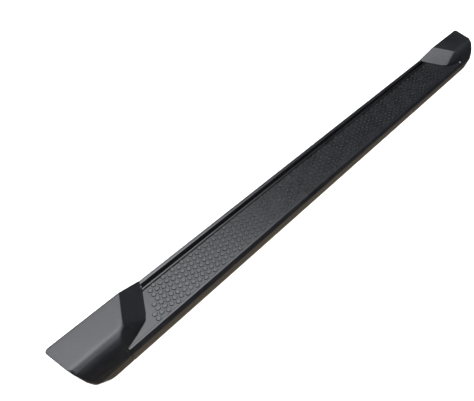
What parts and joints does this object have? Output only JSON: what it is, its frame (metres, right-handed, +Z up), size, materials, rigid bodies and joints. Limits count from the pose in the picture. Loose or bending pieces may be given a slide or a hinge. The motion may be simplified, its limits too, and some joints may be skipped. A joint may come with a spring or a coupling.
{
  "type": "running board",
  "caption": "Straight vehicle running board: hollow extruded deck with studded tread pad, raised rail, faceted end caps and sliding channel nuts below.",
  "frame": {"origin": "centre of the footprint, at the height of the floor the board rests on", "axes": "+X along the board to its front end, +Y to the vehicle, +Z up"},
  "size_m": [1.9162, 0.15, 0.086],
  "materials": {
    "black_coat": "fine textured black powder coat, satin",
    "tread": "moulded black tread with staggered round bumps, satin",
    "cap_plastic": "grained black moulding, satin sheen",
    "black_steel": "black e-coat",
    "foam": "closed-cell foam",
    "zinc": "bright zinc plate"
  },
  "bodies": {
    "board": {"deck_extrusion": "black_coat", "tread_pad": "tread", "end_cap_front": "cap_plastic", "end_cap_rear": "cap_plastic", "end_plate_front": "black_steel", "end_plate_rear": "black_steel", "end_gasket_front": "foam", "end_gasket_rear": "foam", "plate_screw_front_1": "zinc", "plate_screw_front_2": "zinc", "plate_screw_front_3": "zinc", "plate_screw_front_4": "zinc", "cap_screw_front_1": "zinc", "cap_screw_front_2": "zinc", "plate_screw_rear_1": "zinc", "plate_screw_rear_2": "zinc", "plate_screw_rear_3": "zinc", "plate_screw_rear_4": "zinc", "cap_screw_rear_1": "zinc", "cap_screw_rear_2": "zinc"},
    "nut_outer_rear": {"slide_nut_outer_rear": "zinc"},
    "nut_outer_middle": {"slide_nut_outer_middle": "zinc"},
    "nut_outer_front": {"slide_nut_outer_front": "zinc"},
    "nut_inner_rear": {"slide_nut_inner_rear": "zinc"},
    "nut_inner_middle": {"slide_nut_inner_middle": "zinc"},
    "nut_inner_front": {"slide_nut_inner_front": "zinc"}
  },
  "joints": [
    {"name": "nut_outer_rear_slide", "type": "slide", "parent": "board", "child": "nut_outer_rear", "axis": [1, 0, 0], "range_m": [-0.24, 0.24]},
    {"name": "nut_outer_middle_slide", "type": "slide", "parent": "board", "child": "nut_outer_middle", "axis": [1, 0, 0], "range_m": [-0.24, 0.24]},
    {"name": "nut_outer_front_slide", "type": "slide", "parent": "board", "child": "nut_outer_front", "axis": [1, 0, 0], "range_m": [-0.24, 0.24]},
    {"name": "nut_inner_rear_slide", "type": "slide", "parent": "board", "child": "nut_inner_rear", "axis": [1, 0, 0], "range_m": [-0.24, 0.24]},
    {"name": "nut_inner_middle_slide", "type": "slide", "parent": "board", "child": "nut_inner_middle", "axis": [1, 0, 0], "range_m": [-0.24, 0.24]},
    {"name": "nut_inner_front_slide", "type": "slide", "parent": "board", "child": "nut_inner_front", "axis": [1, 0, 0], "range_m": [-0.24, 0.24]}
  ]
}
